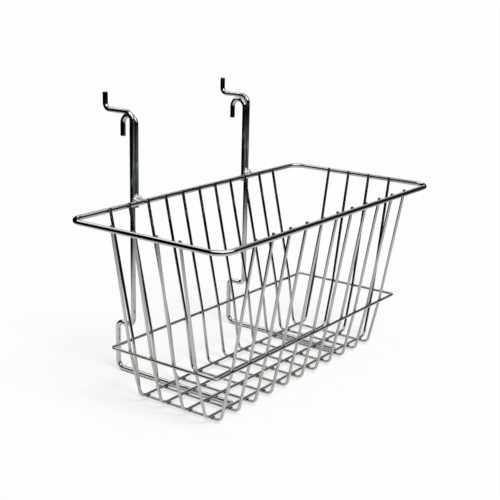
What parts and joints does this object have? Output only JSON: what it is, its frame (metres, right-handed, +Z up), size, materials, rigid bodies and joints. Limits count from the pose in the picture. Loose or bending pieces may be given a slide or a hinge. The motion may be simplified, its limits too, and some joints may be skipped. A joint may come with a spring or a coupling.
{
  "type": "wire display basket",
  "caption": "Tapered rectangular basket of welded chrome wire with a heavier rim, a ring round its walls and rear hooks for slatted, perforated or grid wall panels.",
  "frame": {"origin": "on the ground, in the middle of the basket's bounding box, hooks included", "axes": "+Z up, +X to the right along the long side, +Y to the back, where the hooks are"},
  "size_m": [0.3048, 0.1808, 0.2324],
  "materials": {
    "frame_wire_chrome": "bright chrome plate on drawn steel wire",
    "mesh_wire_chrome": "bright chrome plate on thin drawn steel wire",
    "weld_metal": "uneven weld bead under chrome plate"
  },
  "bodies": {
    "root": {"top_rim": "frame_wire_chrome", "middle_ring": "mesh_wire_chrome", "cross_wire_01": "mesh_wire_chrome", "cross_wire_02": "mesh_wire_chrome", "cross_wire_03": "mesh_wire_chrome", "cross_wire_04": "mesh_wire_chrome", "cross_wire_05": "mesh_wire_chrome", "cross_wire_06": "mesh_wire_chrome", "cross_wire_07": "mesh_wire_chrome", "cross_wire_08": "mesh_wire_chrome", "cross_wire_09": "mesh_wire_chrome", "cross_wire_10": "mesh_wire_chrome", "cross_wire_11": "mesh_wire_chrome", "long_wire_1": "mesh_wire_chrome", "long_wire_2": "mesh_wire_chrome", "long_wire_3": "mesh_wire_chrome", "long_wire_4": "mesh_wire_chrome", "left_wall_hook": "frame_wire_chrome", "left_grid_hook": "frame_wire_chrome", "left_hook_weld": "weld_metal", "right_wall_hook": "frame_wire_chrome", "right_grid_hook": "frame_wire_chrome", "right_hook_weld": "weld_metal"}
  },
  "joints": []
}
